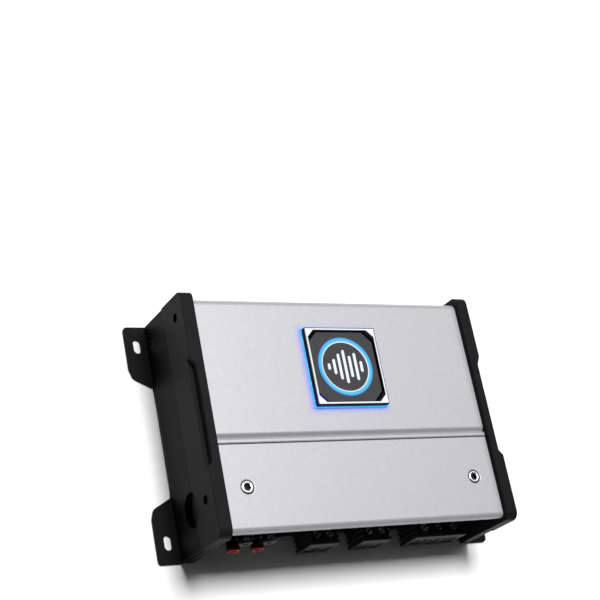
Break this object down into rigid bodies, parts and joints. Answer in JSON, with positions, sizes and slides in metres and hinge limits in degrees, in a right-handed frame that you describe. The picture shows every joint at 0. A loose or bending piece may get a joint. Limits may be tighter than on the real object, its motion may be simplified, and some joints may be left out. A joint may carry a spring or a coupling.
{
  "type": "car audio amplifier",
  "caption": "Compact car amplifier: silver extruded case between black end caps, slotted mounting brackets, glowing badge, lift-off control cover, phono sockets and plug-in terminals.",
  "frame": {"origin": "centre of the footprint, on the mounting surface under the bracket tabs", "axes": "+X along the extrusion, connectors face -Y, +Z out of the cover, away from the mounting surface"},
  "size_m": [0.238, 0.153, 0.0599],
  "materials": {
    "badge_grey": "dark grey satin",
    "bare_aluminium": "mill finish",
    "bezel_chrome": "chrome-plated rim, black sides",
    "black_bracket": "black powder coat",
    "black_end_cap": "moulded, fine satin texture",
    "black_insulator": "moulded black",
    "black_screws": "black oxide steel",
    "black_sheet": "black powder coat",
    "brass_spacers": "turned brass",
    "capacitor_can": "sleeved aluminium can",
    "circuit_board": "green solder mask",
    "copper_wire": "enamelled copper wire",
    "emblem_glow": "back-lit blue and white",
    "epoxy_black": "moulded black",
    "ferrite": "sintered ferrite",
    "knob_plastic": "moulded black",
    "lens": "diffused lens",
    "light_guide": "edge-lit clear acrylic, blue",
    "nickel_screws": "nickel plated steel",
    "nickel_shell": "nickel plated brass",
    "plug_plastic": "moulded black nylon",
    "polished_stainless": "polished stainless",
    "red_insulator": "moulded red",
    "silver_case": "silver powder coat on extruded aluminium, fine satin sparkle",
    "slider_plastic": "moulded white",
    "thermal_rubber": "grey silicone sheet",
    "tinned_pins": "tinned",
    "zinc_steel": "zinc plated steel"
  },
  "bodies": {
    "chassis": {"badge_bezel": "bezel_chrome", "badge_emblem": "emblem_glow", "badge_face": "badge_grey", "badge_led_board": "circuit_board", "badge_light_guide": "light_guide", "board_screws": "zinc_steel", "board_spacers": "brass_spacers", "bottom_plate": "black_sheet", "bracket_screws": "black_screws", "cap_screws": "black_screws", "case_screws": "black_screws", "clamp_bar_screws": "zinc_steel", "connector_panel": "black_sheet", "control_board": "circuit_board", "control_deck": "black_sheet", "control_pots": "epoxy_black", "cover_standoffs": "zinc_steel", "deck_screws": "black_screws", "end_cap_left": "black_end_cap", "end_cap_right": "black_end_cap", "header_pins": "tinned_pins", "heatsink_body": "silver_case", "inductor_cores": "ferrite", "inductor_windings": "copper_wire", "jack_block": "epoxy_black", "jack_contacts": "nickel_shell", "jack_insulators_black": "black_insulator", "jack_insulators_red": "red_insulator", "jack_shells": "nickel_shell", "link_header": "epoxy_black", "main_board": "circuit_board", "mounting_bracket_left": "black_bracket", "mounting_bracket_right": "black_bracket", "power_transistors": "epoxy_black", "status_lights": "lens", "supply_capacitors": "capacitor_can", "switch_bodies": "zinc_steel", "terminal_headers": "plug_plastic", "thermal_pad": "thermal_rubber", "transformer_core": "ferrite", "transformer_winding": "copper_wire", "transistor_clamp_bar": "bare_aluminium"},
    "control_cover": {"control_cover": "silver_case", "cover_screws": "polished_stainless"},
    "gain_knob": {"gain_knob": "knob_plastic"},
    "high_pass_knob": {"high_pass_knob": "knob_plastic"},
    "low_pass_knob": {"low_pass_knob": "knob_plastic"},
    "bass_boost_knob": {"bass_boost_knob": "knob_plastic"},
    "input_level_slider": {"input_level_slider": "slider_plastic"},
    "crossover_slider": {"crossover_slider": "slider_plastic"},
    "badge_light_slider": {"badge_light_slider": "slider_plastic"},
    "speaker_plug_1": {"speaker_plug_1": "plug_plastic", "speaker_plug_1_screws": "nickel_screws", "speaker_plug_1_cages": "tinned_pins"},
    "speaker_plug_2": {"speaker_plug_2": "plug_plastic", "speaker_plug_2_screws": "nickel_screws", "speaker_plug_2_cages": "tinned_pins"},
    "power_plug": {"power_plug": "plug_plastic", "power_plug_screws": "nickel_screws", "power_plug_cages": "tinned_pins"}
  },
  "joints": [
    {"name": "cover_lift", "type": "slide", "parent": "chassis", "child": "control_cover", "axis": [0, 0, 1], "range_m": [0, 0.03]},
    {"name": "gain_turn", "type": "hinge", "parent": "chassis", "child": "gain_knob", "pos_m": [-0.042, -0.043, 0.0512], "axis": [0, 0, 1], "range_deg": [-140, 140]},
    {"name": "high_pass_turn", "type": "hinge", "parent": "chassis", "child": "high_pass_knob", "pos_m": [-0.02, -0.043, 0.0512], "axis": [0, 0, 1], "range_deg": [-140, 140]},
    {"name": "low_pass_turn", "type": "hinge", "parent": "chassis", "child": "low_pass_knob", "pos_m": [0.002, -0.043, 0.0512], "axis": [0, 0, 1], "range_deg": [-140, 140]},
    {"name": "bass_boost_turn", "type": "hinge", "parent": "chassis", "child": "bass_boost_knob", "pos_m": [0.024, -0.043, 0.0512], "axis": [0, 0, 1], "range_deg": [-140, 140]},
    {"name": "input_level_slide", "type": "slide", "parent": "chassis", "child": "input_level_slider", "axis": [1, 0, 0], "range_m": [0, 0.0036]},
    {"name": "crossover_slide", "type": "slide", "parent": "chassis", "child": "crossover_slider", "axis": [1, 0, 0], "range_m": [-0.0018, 0.0018]},
    {"name": "badge_light_slide", "type": "slide", "parent": "chassis", "child": "badge_light_slider", "axis": [1, 0, 0], "range_m": [0, 0.0036]},
    {"name": "speaker_plug_1_pull", "type": "slide", "parent": "chassis", "child": "speaker_plug_1", "axis": [0, -1, 0], "range_m": [0, 0.014]},
    {"name": "speaker_plug_2_pull", "type": "slide", "parent": "chassis", "child": "speaker_plug_2", "axis": [0, -1, 0], "range_m": [0, 0.014]},
    {"name": "power_plug_pull", "type": "slide", "parent": "chassis", "child": "power_plug", "axis": [0, -1, 0], "range_m": [0, 0.014]}
  ]
}
